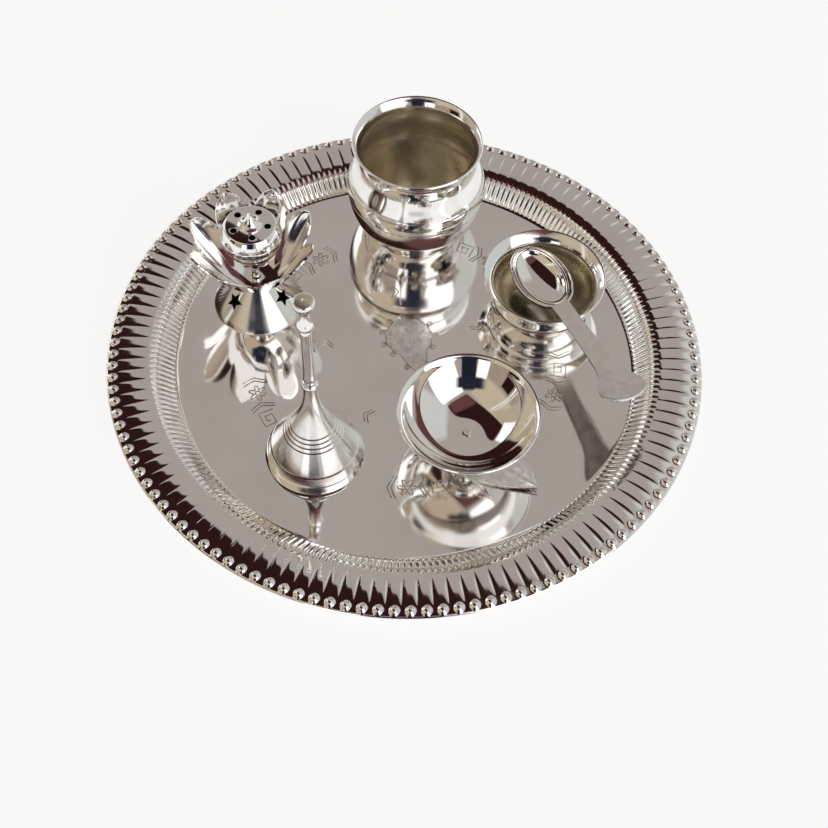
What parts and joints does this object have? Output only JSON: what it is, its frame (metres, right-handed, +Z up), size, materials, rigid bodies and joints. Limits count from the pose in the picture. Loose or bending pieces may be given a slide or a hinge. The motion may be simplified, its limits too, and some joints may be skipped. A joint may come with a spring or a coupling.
{
  "type": "puja thali",
  "caption": "Round silver-plated worship tray with a beaded rim that carries a water pot, an offering cup with its ladle, an oil lamp, a hand bell and an incense stand.",
  "frame": {"origin": "on the underside plane of the tray, under the middle of its round floor", "axes": "+Z up, +Y from the viewer towards the water pot at the back, +X to the viewer's right"},
  "size_m": [0.28, 0.28, 0.1112],
  "materials": {
    "silver_plate": "polished silver plate on brass",
    "plain_steel": "plain steel"
  },
  "bodies": {
    "tray": {"thali_tray": "silver_plate"},
    "lota": {"lota_lower_bowl": "silver_plate", "lota_upper_shell": "silver_plate"},
    "cup": {"cup_body": "silver_plate"},
    "ladle": {"ladle_bowl": "silver_plate", "ladle_handle": "silver_plate"},
    "diya": {"diya_leaf_base": "silver_plate", "diya_stem": "silver_plate", "diya_bowl": "silver_plate", "diya_rivet": "silver_plate"},
    "bell": {"bell_cup": "silver_plate", "bell_handle": "silver_plate", "bell_handle_knob": "silver_plate", "bell_clapper_staple": "plain_steel"},
    "clapper": {"bell_clapper": "plain_steel"},
    "incense_stand": {"incense_base_cone": "silver_plate", "incense_rod": "silver_plate", "incense_petals": "silver_plate", "incense_cup": "silver_plate", "incense_cap": "silver_plate", "incense_finial": "silver_plate", "incense_nut": "plain_steel"}
  },
  "joints": [
    {"name": "lota_lift", "type": "slide", "parent": "tray", "child": "lota", "axis": [0, 0, 1], "range_m": [0, 0.08]},
    {"name": "cup_lift", "type": "slide", "parent": "tray", "child": "cup", "axis": [0, 0, 1], "range_m": [0, 0.08]},
    {"name": "ladle_lift", "type": "slide", "parent": "cup", "child": "ladle", "axis": [0, 0, 1], "range_m": [0, 0.06]},
    {"name": "diya_lift", "type": "slide", "parent": "tray", "child": "diya", "axis": [0, 0, 1], "range_m": [0, 0.08]},
    {"name": "bell_lift", "type": "slide", "parent": "tray", "child": "bell", "axis": [0, 0, 1], "range_m": [0, 0.08]},
    {"name": "incense_stand_lift", "type": "slide", "parent": "tray", "child": "incense_stand", "axis": [0, 0, 1], "range_m": [0, 0.08]},
    {"name": "clapper_swing", "type": "hinge", "parent": "bell", "child": "clapper", "pos_m": [-0.03772, -0.05702, 0.03155], "axis": [1, 0, 0], "range_deg": [-30, 30]}
  ]
}
